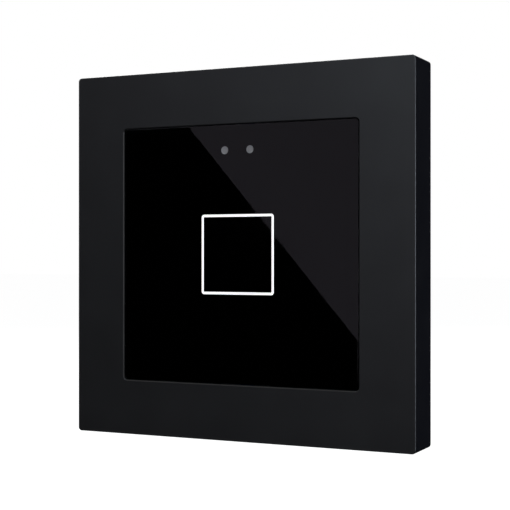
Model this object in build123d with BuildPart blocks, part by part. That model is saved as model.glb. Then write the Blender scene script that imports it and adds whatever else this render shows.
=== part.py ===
from build123d import *
import os
from math import sqrt

os.makedirs("parts", exist_ok=True)

# A touch light switch for a round flush wall box: a glass-fronted module that magnets hold on a
# steel plate, with a moulded surround round it.
# X runs to the right and Z up, as seen from the room. The wall is the plane Y = 0.
# Places across the wall's depth are distances in front of the wall, towards the room, so what
# lies in the wall box has a negative one. Plane.XZ faces the room, and its offset is that distance.

# Clearances that several pieces share
seat_gap = 0.05          # between pieces of the module that rest on each other
surround_gap = 0.1       # from the surround to the plate, and from the module to the surround
root = 0.2               # how far a rib, boss or ledge runs into the wall that it stands on
overrun = 1.0            # how far a cut runs past the face that it opens

# Steel plate, screwed to the wall box through slots at the box's screw spacing
plate_thickness = 1.2
screw_spacing = 60.0
slot_width = 4.2
slot_length = 7.0
slot_edge = 2.0          # steel beyond the outer end of a slot
plate_corner = 4.0
plate_opening_gap = 0.4  # round the module's rear box
plate_side = screw_spacing + slot_length + 2 * slot_edge
slot_radius = screw_spacing / 2

# Cover glass, a little behind the surround's front face
glass_side = 55.6
glass_corner = 0.7
glass_thickness = 0.7
glass_bevel = 0.1
glass_gap = 0.15         # from the glass to the window's edge
glass_recess = 0.1

# Black print behind the glass, with the icon's ring and the sensors' dots left open
mask_thickness = 0.1
mask_inset = 0.1
print_gap = 0.02
icon_side = 17.2
icon_line = 0.52
icon_corner = 0.6
sensor_dot = 1.7
sensor_spacing = 6.0
sensor_drop = 5.4        # from the glass's top edge to the dots

# Adhesive frame between the print and the carrier
tape_thickness = 0.3
tape_inset = 0.4
tape_width = 2.55

# Carrier tray
carrier_inset = 0.35     # inside the glass's edge
carrier_corner = 1.0
carrier_floor = 1.6
carrier_wall = 1.25
board_seat_width = 1.0
board_seat_length = 6.0
board_seat_offset = 18.0
carrier_side = glass_side - 2 * carrier_inset
carrier_inside = carrier_side - 2 * carrier_wall
board_seat_radius = (carrier_inside - board_seat_width + root) / 2

# Front board and what stands on it
front_board_thickness = 1.0
front_board_gap = 0.3    # to the carrier's wall
component_space = 1.58   # between the front board and the carrier's floor
led_length = 1.6
led_width = 0.8
led_height = 0.6
sensor_chip_side = 2.0
sensor_chip_height = 0.7
controller_side = 5.0
controller_height = 0.85
controller_x = 16.0
controller_z = -3.0
thermistor_length = 1.6
thermistor_width = 0.8
thermistor_height = 0.5
thermistor_edge = 2.0    # from the board's lower edge

# Magnets in their cups
magnet_diameter = 8.0
magnet_thickness = 2.0
magnet_gap = 0.25        # air between a magnet and the plate
magnet_pocket_gap = 0.1
magnet_proud = 0.25      # beyond the rim of its cup
cup_wall = 0.7           # at the middle of each side
cup_sides = 8
cup_margin = 0.4         # from a cup to the surround's ledge
cup_box_gap = 0.85       # from a cup to the rear box
cup_radius = magnet_diameter / 2 + magnet_pocket_gap + cup_wall

# Flange of the rear housing, which closes the carrier
flange_thickness = 1.05
flange_gap = 0.15        # to the carrier's wall

# Screws through the flange into the carrier
housing_screw_head = 3.4
housing_screw_head_height = 1.2
housing_screw_shank = 1.7
housing_screw_length = 3.4
housing_screw_offset = 11.0
housing_screw_margin = 0.8      # from a head to the surround's ledge
housing_screw_side_gap = 0.5    # from a head to the rear box
housing_screw_hole_gap = 0.15
housing_screw_pilot_gap = 0.05
housing_screw_pilot_spare = 0.3
cross_length = 2.0
cross_width = 0.4
cross_depth = 0.5
post_width = 3.6         # of the carrier's posts that take the screws
post_reach = 5.3         # from the carrier's side wall
post_gap = 0.25          # from a post to the board

# Distances in front of the wall, from the plate out to the glass
channel_rear = plate_thickness + surround_gap
magnet_rear = plate_thickness + magnet_gap
magnet_front = magnet_rear + magnet_thickness
flange_rear = magnet_front + seat_gap
flange_front = flange_rear + flange_thickness
front_board_rear = flange_front + seat_gap
front_board_front = front_board_rear + front_board_thickness
floor_rear = front_board_front + component_space
floor_front = floor_rear + carrier_floor
mask_rear = floor_front + tape_thickness
mask_front = mask_rear + mask_thickness
glass_rear = mask_front + print_gap
glass_front = glass_rear + glass_thickness
surround_front = glass_front + glass_recess

# Surround
surround_side_wall = 2.0
surround_face_wall = 2.0
surround_corner = 0.8
surround_edge = 0.2
skirt_inner_corner = 0.6
plate_margin = 2.5       # from the plate's edge to the inside of the skirt
window_bevel = 0.15
channel_wall = 1.6
channel_corner = 2.0
ledge_reach = 2.25       # under the carrier's edge
ledge_thickness = 1.2
head_notch_width = 12.0  # for the heads of the wall box's screws
head_notch_rise = 0.8    # above the ledge
rib_thickness = 1.2
rib_offset = 16.0
rib_gap = 0.3            # from a rib to the plate's front
locator_gap = 0.25       # from a rib's foot to the plate's edge
locator_lift = 0.3       # from a rib's foot to the wall
pry_width = 10.0
pry_height = 1.0
surround_side = plate_side + 2 * (plate_margin + surround_side_wall)
skirt_inside = surround_side - 2 * surround_side_wall
window_side = glass_side + 2 * glass_gap
window_corner = glass_corner + glass_gap
channel_side = window_side + 2 * channel_wall
ledge_opening = carrier_side - 2 * ledge_reach
ledge_front = flange_rear - surround_gap
ledge_rear = ledge_front - ledge_thickness

# Light guide round the touch foil, and the sensors' rods
guide_wall = 1.5
guide_flange_reach = 1.3
guide_flange_thickness = 0.6
guide_foot = 1.6
guide_hole_gap = 0.15
pipe_diameter = 2.2
pipe_foot_margin = 0.5   # of the foot that joins the rods, round them
pipe_foot_thickness = 0.5
pipe_hole_gap = 0.15
icon_middle = icon_side - icon_line
guide_outside = icon_middle + guide_wall
guide_inside = icon_middle - guide_wall
sensor_z = glass_side / 2 - sensor_drop
sensor_places = ((-sensor_spacing / 2, sensor_z), (sensor_spacing / 2, sensor_z))

# Touch foil and its spring
electrode_gap = 0.3
electrode_thickness = 0.2
spring_diameter = 5.0
spring_wire = 0.4
spring_turns = 2.5
spring_sides = 5

# Eight-sided rear box, whose corners are cut to clear the magnets and to enter a round wall box
rear_wall = 1.2
rear_floor = 1.4
rear_edge = 0.8
board_rib_reach = 1.8
board_rib_thickness = 1.2
magnet_spacing = ledge_opening - 2 * (cup_radius + cup_margin)
housing_screw_x = ledge_opening / 2 - housing_screw_margin - housing_screw_head / 2
rear_box_side = 2 * (housing_screw_x - housing_screw_head / 2 - housing_screw_side_gap)
rear_box_cut = rear_box_side - magnet_spacing + sqrt(2) * (cup_radius + cup_box_gap)
rear_box_inside = rear_box_side - 2 * rear_wall
board_rib_radius = (rear_box_inside - board_rib_reach + root) / 2

# Main board and the plug between the boards
board_spacing = 5.6
main_board_thickness = 1.6
main_board_gap = 0.3
pin_width = 0.5
pin_spacing = 2.0
pin_tail = 0.6           # beyond the board's far face
pin_hole_gap = 0.1
board_plug_columns = 5
board_plug_rows = 2
board_plug_z = -3.0
board_plug_wall = 0.75   # round the outer pins
board_socket_height = 3.5
board_plug_gap = 0.1     # between socket and header
board_pin_reach = 2.6    # into the socket
socket_hole_gap = 0.1
processor_side = 7.0
bus_chip_side = 6.0
logic_chip_height = 1.0
logic_chip_x = 11.5
logic_chip_z = 5.0
main_board_front = front_board_rear - board_spacing
main_board_rear = main_board_front - main_board_thickness

# Bus well with its two pins
block_thickness = 1.3
block_margin = 0.4       # inside the well's walls
well_floor = 1.0
well_depth = 11.0
well_width = 12.2
well_height = 10.6
well_wall = 1.0
well_margin = 1.7        # from the well to the board's rib
well_lead_in = 0.4
bus_pin_diameter = 1.0
bus_pin_spacing = 5.75
bus_pin_length = 8.0
bus_pin_tail_side = 0.7  # of the square tail, from the well's floor to the board
bus_pin_tail_gap = 0.05   # in the block and in the well's floor
block_front = main_board_rear - seat_gap
block_rear = block_front - block_thickness
well_floor_front = block_rear - seat_gap
well_floor_rear = well_floor_front - well_floor
rear_face = well_floor_rear - well_depth
rear_floor_front = rear_face + rear_floor
well_z = (rear_box_inside - well_height) / 2 - board_rib_reach - well_margin - well_wall
bus_pin_places = ((-bus_pin_spacing / 2, well_z), (bus_pin_spacing / 2, well_z))
bus_pin_hole_side = bus_pin_tail_side + 2 * bus_pin_tail_gap

# Shrouded header for wired inputs, at the bottom of its tube
input_pins = 5
input_cavity_width = 10.8
input_cavity_height = 4.0
input_shroud_wall = 0.8
input_shroud_height = 6.6
input_floor = 2.0
input_pin_inset = 1.0    # below the shroud's rim
input_tube_gap = 0.2
input_tube_wall = 1.0
input_tube_overlap = 0.35
input_margin = 0.5       # from the tube to the board's rib
input_width = input_cavity_width + 2 * input_shroud_wall
input_height = input_cavity_height + 2 * input_shroud_wall
input_mouth_width = input_width + 2 * input_tube_gap
input_mouth_height = input_height + 2 * input_tube_gap
input_rim = main_board_rear - input_shroud_height
input_z = board_rib_reach + input_margin + input_tube_wall - (rear_box_inside - input_mouth_height) / 2

# Programming switch, its plunger and the long button over it
switch_side = 4.5
switch_height = 1.9
plunger_diameter = 2.0
plunger_gap = 0.05
plunger_stand = 0.5      # out of the switch
plunger_inside = 0.6     # in the switch
plunger_travel = 0.25
plunger_spare = 0.15
button_diameter = 3.0
button_bevel = 0.3
button_gap = 0.1
button_flange_diameter = 4.4
button_flange_thickness = 0.8
button_proud = 0.3
button_guide_wall = 0.8
button_guide_gap = 0.3   # from the guide to the button's flange
button_side_margin = 4.0  # from the guide to the rear box's wall
button_z = -1.0
switch_rear = main_board_rear - switch_height
plunger_rear = switch_rear - plunger_stand
plunger_front = switch_rear + plunger_inside
button_front = plunger_rear - seat_gap
button_flange_rear = button_front - button_flange_thickness
button_bore = button_diameter + 2 * button_gap
button_guide = button_bore + 2 * button_guide_wall
left_column_x = -(rear_box_inside - button_guide) / 2 + button_side_margin

# Programming lamp and its light rod
lamp_height = 0.8
lens_diameter = 2.2
lens_collar = 3.6
lens_collar_thickness = 0.8
lens_gap = 0.15
lens_lamp_gap = 0.2
lens_proud = 0.1
lens_z = -7.5

# Power parts on the main board's rear
choke_side = 6.0
choke_height = 4.5
choke_margin = 3.0       # from the choke to the rear box's wall
choke_z = 5.0
capacitor_diameter = 6.3
capacitor_height = 7.7
capacitor_margin = 2.5
capacitor_spacing = 9.0
capacitor_z = 1.5
choke_x = -(rear_box_inside - choke_side) / 2 + choke_margin
capacitor_x = (rear_box_inside - capacitor_diameter) / 2 - capacitor_margin
capacitor_places = (
    (capacitor_x, capacitor_z - capacitor_spacing / 2),
    (capacitor_x, capacitor_z + capacitor_spacing / 2),
)

# A square's cut corner grows by this share of a margin that is added all round
cut_growth_share = 2 - sqrt(2)
half_turn = 180


def box_outline(margin):
    """The rear box's eight-sided outline, grown by a margin on every side."""
    with BuildSketch() as outline:
        Rectangle(rear_box_side + 2 * margin, rear_box_side + 2 * margin)
        chamfer(outline.vertices(), length=rear_box_cut + cut_growth_share * margin)
    return outline.sketch


rear_box_outline = box_outline(0)
rear_box_hollow = box_outline(-rear_wall)
main_board_outline = box_outline(-rear_wall - main_board_gap)
plate_opening_outline = box_outline(plate_opening_gap)

# The plate: one slot on each side of its eight-sided opening
with BuildPart() as mounting_plate:
    with BuildSketch(Plane.XZ):
        RectangleRounded(plate_side, plate_side, plate_corner)
    extrude(amount=plate_thickness)
    with BuildSketch(Plane.XZ):
        add(plate_opening_outline)
    extrude(amount=plate_thickness, mode=Mode.SUBTRACT)
    with BuildSketch(Plane.XZ):
        with PolarLocations(slot_radius, 4):
            SlotOverall(slot_length, slot_width)
    extrude(amount=plate_thickness, mode=Mode.SUBTRACT)

# The surround: face, skirt and channel wall cut from one block, then ledge, ribs and notches
with BuildPart() as surround_frame:
    with BuildSketch(Plane.XZ):
        RectangleRounded(surround_side, surround_side, surround_corner)
    extrude(amount=surround_front)
    fillet(surround_frame.faces().sort_by(Axis.Y)[0].edges(), radius=surround_edge)
    with BuildSketch(Plane.XZ):
        RectangleRounded(skirt_inside, skirt_inside, skirt_inner_corner)
        RectangleRounded(channel_side, channel_side, channel_corner, mode=Mode.SUBTRACT)
    extrude(amount=surround_front - surround_face_wall, mode=Mode.SUBTRACT)
    with BuildSketch(Plane.XZ):
        RectangleRounded(skirt_inside, skirt_inside, skirt_inner_corner)
    extrude(amount=channel_rear, mode=Mode.SUBTRACT)
    with BuildSketch(Plane.XZ):
        RectangleRounded(window_side, window_side, window_corner)
    extrude(amount=surround_front, mode=Mode.SUBTRACT)
    chamfer(surround_frame.faces().sort_by(Axis.Y)[0].inner_wires()[0].edges(), length=window_bevel)

    # The ledge behind the module's edge
    with BuildSketch(Plane.XZ.offset(ledge_rear)):
        Rectangle(window_side + 2 * root, window_side + 2 * root)
        Rectangle(ledge_opening, ledge_opening, mode=Mode.SUBTRACT)
    extrude(amount=ledge_thickness)

    # Ribs from the channel to the skirt, each with a foot beside the plate's edge
    rib_rear = plate_thickness + rib_gap
    rib_length = (skirt_inside - channel_side) / 2 + 2 * root
    foot_inner = plate_side / 2 + locator_gap
    foot_length = skirt_inside / 2 + root - foot_inner
    with BuildSketch(Plane.XZ.offset(rib_rear)):
        with PolarLocations((skirt_inside + channel_side) / 4, 4):
            with Locations((0, rib_offset), (0, -rib_offset)):
                Rectangle(rib_length, rib_thickness)
    extrude(amount=surround_front - surround_face_wall + root - rib_rear)
    with BuildSketch(Plane.XZ.offset(locator_lift)):
        with PolarLocations(foot_inner + foot_length / 2, 4):
            with Locations((0, rib_offset), (0, -rib_offset)):
                Rectangle(foot_length, rib_thickness)
    extrude(amount=rib_rear + root - locator_lift)

    # Notches through channel and ledge for the wall box's screw heads
    notch_length = (channel_side - ledge_opening) / 2 + 2 * overrun
    with BuildSketch(Plane.XZ):
        with PolarLocations((channel_side + ledge_opening) / 4, 4):
            Rectangle(notch_length, head_notch_width)
    extrude(amount=ledge_front + head_notch_rise, mode=Mode.SUBTRACT)

    # A notch in the lower edge to prise the surround off the wall
    with BuildSketch(Plane.XZ):
        with Locations((0, -(surround_side - surround_side_wall) / 2)):
            Rectangle(pry_width, surround_side_wall + 2 * overrun)
    extrude(amount=pry_height, mode=Mode.SUBTRACT)

# The glass, bevelled round its front
with BuildPart() as touch_glass:
    with BuildSketch(Plane.XZ.offset(glass_rear)):
        RectangleRounded(glass_side, glass_side, glass_corner)
    extrude(amount=glass_thickness)
    chamfer(touch_glass.faces().sort_by(Axis.Y)[0].edges(), length=glass_bevel)

# The print, whose ring leaves an island in the middle
with BuildPart() as printed_mask:
    mask_side = glass_side - 2 * mask_inset
    with BuildSketch(Plane.XZ.offset(mask_rear)):
        RectangleRounded(mask_side, mask_side, glass_corner)
        RectangleRounded(icon_side, icon_side, icon_corner, mode=Mode.SUBTRACT)
        Rectangle(icon_side - 2 * icon_line, icon_side - 2 * icon_line)
        with Locations(*sensor_places):
            Circle(sensor_dot / 2, mode=Mode.SUBTRACT)
    extrude(amount=mask_thickness)

with BuildPart() as bonding_tape:
    tape_side = carrier_side - 2 * tape_inset
    tape_opening = tape_side - 2 * tape_width
    with BuildSketch(Plane.XZ.offset(floor_front)):
        Rectangle(tape_side, tape_side)
        Rectangle(tape_opening, tape_opening, mode=Mode.SUBTRACT)
    extrude(amount=tape_thickness)

# The carrier: a tray open to the rear, with screw posts on its side walls and seats for the board
post_rear = flange_front + seat_gap
post_x = (carrier_inside - post_reach + root) / 2
pilot_depth = flange_rear + housing_screw_length + housing_screw_pilot_spare - post_rear
with BuildPart() as front_carrier:
    with BuildSketch(Plane.XZ.offset(flange_rear)):
        RectangleRounded(carrier_side, carrier_side, carrier_corner)
    extrude(amount=floor_front - flange_rear)
    with BuildSketch(Plane.XZ.offset(flange_rear)):
        Rectangle(carrier_inside, carrier_inside)
    extrude(amount=floor_rear - flange_rear, mode=Mode.SUBTRACT)
    with BuildSketch(Plane.XZ.offset(post_rear)):
        with GridLocations(2 * post_x, 2 * housing_screw_offset, 2, 2):
            Rectangle(post_reach + root, post_width)
    extrude(amount=floor_rear + root - post_rear)
    with BuildSketch(Plane.XZ.offset(front_board_front + seat_gap)):
        with PolarLocations(board_seat_radius, 4):
            with Locations((0, board_seat_offset), (0, -board_seat_offset)):
                Rectangle(board_seat_width + root, board_seat_length)
    extrude(amount=component_space - seat_gap + root)
    with BuildSketch(Plane.XZ.offset(post_rear)):
        with GridLocations(2 * housing_screw_x, 2 * housing_screw_offset, 2, 2):
            Circle(housing_screw_shank / 2 + housing_screw_pilot_gap)
    extrude(amount=pilot_depth, mode=Mode.SUBTRACT)
    with BuildSketch(Plane.XZ.offset(floor_rear)):
        guide_hole = guide_outside + 2 * guide_hole_gap
        Rectangle(guide_hole, guide_hole)
        with Locations(*sensor_places):
            Circle(pipe_diameter / 2 + pipe_hole_gap)
    extrude(amount=carrier_floor, mode=Mode.SUBTRACT)

# The light guide: a collar under the ring, with a flange behind the carrier's floor and four feet
guide_rear = floor_rear - seat_gap - guide_flange_thickness
guide_flange = guide_outside + 2 * guide_flange_reach
with BuildPart() as icon_light_guide:
    with BuildSketch(Plane.XZ.offset(guide_rear)):
        Rectangle(guide_outside, guide_outside)
        Rectangle(guide_inside, guide_inside, mode=Mode.SUBTRACT)
    extrude(amount=mask_rear - seat_gap - guide_rear)
    with BuildSketch(Plane.XZ.offset(guide_rear)):
        Rectangle(guide_flange, guide_flange)
        Rectangle(guide_inside, guide_inside, mode=Mode.SUBTRACT)
    extrude(amount=guide_flange_thickness)
    with BuildSketch(Plane.XZ.offset(front_board_front + seat_gap)):
        with GridLocations(guide_flange - guide_foot, guide_flange - guide_foot, 2, 2):
            Rectangle(guide_foot, guide_foot)
    extrude(amount=guide_rear + root - front_board_front - seat_gap)

# The two rods, moulded on one foot behind the carrier's floor
with BuildPart() as sensor_light_pipes:
    pipe_rear = floor_rear - seat_gap - pipe_foot_thickness
    pipe_foot_width = pipe_diameter + 2 * pipe_foot_margin
    with BuildSketch(Plane.XZ.offset(pipe_rear)):
        with Locations((0, sensor_z)):
            Rectangle(sensor_spacing + pipe_foot_width, pipe_foot_width)
    extrude(amount=pipe_foot_thickness)
    with BuildSketch(Plane.XZ.offset(pipe_rear)):
        with Locations(*sensor_places):
            Circle(pipe_diameter / 2)
    extrude(amount=mask_rear - seat_gap - pipe_rear)

electrode_rear = mask_rear - seat_gap - electrode_thickness
with BuildPart() as touch_electrode:
    electrode_side = guide_inside - 2 * electrode_gap
    with BuildSketch(Plane.XZ.offset(electrode_rear)):
        Rectangle(electrode_side, electrode_side)
    extrude(amount=electrode_thickness)

# The spring between board and foil
with BuildPart() as touch_spring:
    spring_start = front_board_front + seat_gap + spring_wire / 2
    spring_rise = electrode_rear - seat_gap - spring_wire / 2 - spring_start
    with BuildLine() as coil:
        Helix(
            pitch=spring_rise / spring_turns,
            height=spring_rise,
            radius=(spring_diameter - spring_wire) / 2,
            center=(0, -spring_start, 0),
            direction=(0, -1, 0),
        )
    with BuildSketch(Plane(origin=coil.line @ 0, z_dir=coil.line % 0)):
        RegularPolygon(spring_wire / 2, spring_sides)
    sweep(path=coil.line, is_frenet=True)

with BuildPart() as front_board:
    front_board_side = carrier_inside - 2 * front_board_gap
    with BuildSketch(Plane.XZ.offset(front_board_rear)):
        Rectangle(front_board_side, front_board_side)
        with GridLocations(2 * post_x, 2 * housing_screw_offset, 2, 2):
            Rectangle(post_reach + root + 2 * post_gap, post_width + 2 * post_gap, mode=Mode.SUBTRACT)
    extrude(amount=front_board_thickness)

# Two lamps under each side of the ring
with BuildPart() as icon_leds:
    with BuildSketch(Plane.XZ.offset(front_board_front)):
        with PolarLocations(icon_middle / 2, 4):
            with Locations((0, icon_middle / 4), (0, -icon_middle / 4)):
                Rectangle(led_width, led_length)
    extrude(amount=led_height)

with BuildPart() as sensor_chips:
    with BuildSketch(Plane.XZ.offset(front_board_front)):
        with Locations(*sensor_places):
            Rectangle(sensor_chip_side, sensor_chip_side)
    extrude(amount=sensor_chip_height)

with BuildPart() as touch_controller:
    with BuildSketch(Plane.XZ.offset(front_board_front)):
        with Locations((controller_x, controller_z)):
            Rectangle(controller_side, controller_side)
    extrude(amount=controller_height)

with BuildPart() as temperature_sensor:
    with BuildSketch(Plane.XZ.offset(front_board_front)):
        with Locations((0, -front_board_side / 2 + thermistor_edge)):
            Rectangle(thermistor_length, thermistor_width)
    extrude(amount=thermistor_height)

# The socket and the plug that join the two boards
plug_length = (board_plug_columns - 1) * pin_spacing + pin_width + 2 * board_plug_wall
plug_width = (board_plug_rows - 1) * pin_spacing + pin_width + 2 * board_plug_wall
board_header_height = board_spacing - board_socket_height - board_plug_gap
board_socket_rear = front_board_rear - board_socket_height
board_pin_front = board_socket_rear + board_pin_reach
plug_centre = (0, board_plug_z)
with BuildPart() as board_socket:
    with BuildSketch(Plane.XZ.offset(board_socket_rear)):
        with Locations(plug_centre):
            Rectangle(plug_length, plug_width)
    extrude(amount=board_socket_height)
    with BuildSketch(Plane.XZ.offset(board_socket_rear)):
        with Locations(plug_centre):
            with GridLocations(pin_spacing, pin_spacing, board_plug_columns, board_plug_rows):
                Rectangle(pin_width + 2 * socket_hole_gap, pin_width + 2 * socket_hole_gap)
    extrude(amount=board_pin_reach + board_plug_gap, mode=Mode.SUBTRACT)

with BuildPart() as board_header:
    with BuildSketch(Plane.XZ.offset(main_board_front)):
        with Locations(plug_centre):
            Rectangle(plug_length, plug_width)
            with GridLocations(pin_spacing, pin_spacing, board_plug_columns, board_plug_rows):
                Rectangle(pin_width, pin_width, mode=Mode.SUBTRACT)
    extrude(amount=board_header_height)

with BuildPart() as header_pins:
    header_pin_rear = main_board_rear - pin_tail
    with BuildSketch(Plane.XZ.offset(header_pin_rear)):
        with Locations(plug_centre):
            with GridLocations(pin_spacing, pin_spacing, board_plug_columns, board_plug_rows):
                Rectangle(pin_width, pin_width)
    extrude(amount=board_pin_front - header_pin_rear)

# The main board, drilled for every pin that is soldered through it
pin_hole_side = pin_width + 2 * pin_hole_gap
tail_hole_side = bus_pin_tail_side + 2 * pin_hole_gap
with BuildPart() as main_board:
    with BuildSketch(Plane.XZ.offset(main_board_rear)):
        add(main_board_outline)
        with Locations(plug_centre):
            with GridLocations(pin_spacing, pin_spacing, board_plug_columns, board_plug_rows):
                Rectangle(pin_hole_side, pin_hole_side, mode=Mode.SUBTRACT)
        with Locations((0, input_z)):
            with GridLocations(pin_spacing, pin_spacing, input_pins, 1):
                Rectangle(pin_hole_side, pin_hole_side, mode=Mode.SUBTRACT)
        with Locations(*bus_pin_places):
            Rectangle(tail_hole_side, tail_hole_side, mode=Mode.SUBTRACT)
    extrude(amount=main_board_thickness)

with BuildPart() as logic_chips:
    with BuildSketch(Plane.XZ.offset(main_board_front)):
        with Locations((-logic_chip_x, logic_chip_z)):
            Rectangle(processor_side, processor_side)
        with Locations((logic_chip_x, logic_chip_z)):
            Rectangle(bus_chip_side, bus_chip_side)
    extrude(amount=logic_chip_height)

with BuildPart() as storage_choke:
    with BuildSketch(Plane.XZ.offset(main_board_rear - choke_height)):
        with Locations((choke_x, choke_z)):
            Rectangle(choke_side, choke_side)
    extrude(amount=choke_height)

with BuildPart() as buffer_capacitors:
    with BuildSketch(Plane.XZ.offset(main_board_rear - capacitor_height)):
        with Locations(*capacitor_places):
            Circle(capacitor_diameter / 2)
    extrude(amount=capacitor_height)

# The block round the bus pins, and the pins: round in the well, with a square tail up to the board
with BuildPart() as bus_header_block:
    with BuildSketch(Plane.XZ.offset(block_rear)):
        with Locations((0, well_z)):
            Rectangle(well_width - 2 * block_margin, well_height - 2 * block_margin)
        with Locations(*bus_pin_places):
            Rectangle(bus_pin_hole_side, bus_pin_hole_side, mode=Mode.SUBTRACT)
    extrude(amount=block_thickness)

with BuildPart() as bus_pins:
    with BuildSketch(Plane.XZ.offset(well_floor_rear - bus_pin_length)):
        with Locations(*bus_pin_places):
            Circle(bus_pin_diameter / 2)
    extrude(amount=bus_pin_length)
    with BuildSketch(Plane.XZ.offset(well_floor_rear)):
        with Locations(*bus_pin_places):
            Rectangle(bus_pin_tail_side, bus_pin_tail_side)
    extrude(amount=main_board_front + pin_tail - well_floor_rear)

with BuildPart() as input_header:
    with BuildSketch(Plane.XZ.offset(input_rim)):
        with Locations((0, input_z)):
            Rectangle(input_width, input_height)
    extrude(amount=input_shroud_height)
    with BuildSketch(Plane.XZ.offset(input_rim)):
        with Locations((0, input_z)):
            Rectangle(input_cavity_width, input_cavity_height)
    extrude(amount=input_shroud_height - input_floor, mode=Mode.SUBTRACT)
    with BuildSketch(Plane.XZ.offset(main_board_rear)):
        with Locations((0, input_z)):
            with GridLocations(pin_spacing, pin_spacing, input_pins, 1):
                Rectangle(pin_width, pin_width)
    extrude(amount=-input_floor, mode=Mode.SUBTRACT)

with BuildPart() as input_header_pins:
    input_pin_rear = input_rim + input_pin_inset
    with BuildSketch(Plane.XZ.offset(input_pin_rear)):
        with Locations((0, input_z)):
            with GridLocations(pin_spacing, pin_spacing, input_pins, 1):
                Rectangle(pin_width, pin_width)
    extrude(amount=main_board_front + pin_tail - input_pin_rear)

with BuildPart() as programming_switch:
    with BuildSketch(Plane.XZ.offset(switch_rear)):
        with Locations((left_column_x, button_z)):
            Rectangle(switch_side, switch_side)
    extrude(amount=switch_height)
    with BuildSketch(Plane.XZ.offset(switch_rear)):
        with Locations((left_column_x, button_z)):
            Circle(plunger_diameter / 2 + plunger_gap)
    extrude(amount=plunger_inside + plunger_travel + plunger_spare, mode=Mode.SUBTRACT)

with BuildPart() as switch_plunger:
    with BuildSketch(Plane.XZ.offset(plunger_rear)):
        with Locations((left_column_x, button_z)):
            Circle(plunger_diameter / 2)
    extrude(amount=plunger_front - plunger_rear)

with BuildPart() as programming_button:
    button_rear = rear_face - button_proud
    with BuildSketch(Plane.XZ.offset(button_rear)):
        with Locations((left_column_x, button_z)):
            Circle(button_diameter / 2)
    extrude(amount=button_front - button_rear)
    chamfer(programming_button.faces().sort_by(Axis.Y)[-1].edges(), length=button_bevel)
    with BuildSketch(Plane.XZ.offset(button_flange_rear)):
        with Locations((left_column_x, button_z)):
            Circle(button_flange_diameter / 2)
    extrude(amount=button_flange_thickness)

with BuildPart() as programming_led:
    with BuildSketch(Plane.XZ.offset(main_board_rear - lamp_height)):
        with Locations((left_column_x, lens_z)):
            Rectangle(led_length, led_width)
    extrude(amount=lamp_height)

with BuildPart() as programming_led_lens:
    lens_rear = rear_face - lens_proud
    lens_front = main_board_rear - lamp_height - lens_lamp_gap
    lens_collar_rear = rear_floor_front + seat_gap
    with BuildSketch(Plane.XZ.offset(lens_rear)):
        with Locations((left_column_x, lens_z)):
            Circle(lens_diameter / 2)
    extrude(amount=lens_front - lens_rear)
    with BuildSketch(Plane.XZ.offset(lens_collar_rear)):
        with Locations((left_column_x, lens_z)):
            Rectangle(lens_collar, lens_collar)
    extrude(amount=lens_collar_thickness)

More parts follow.
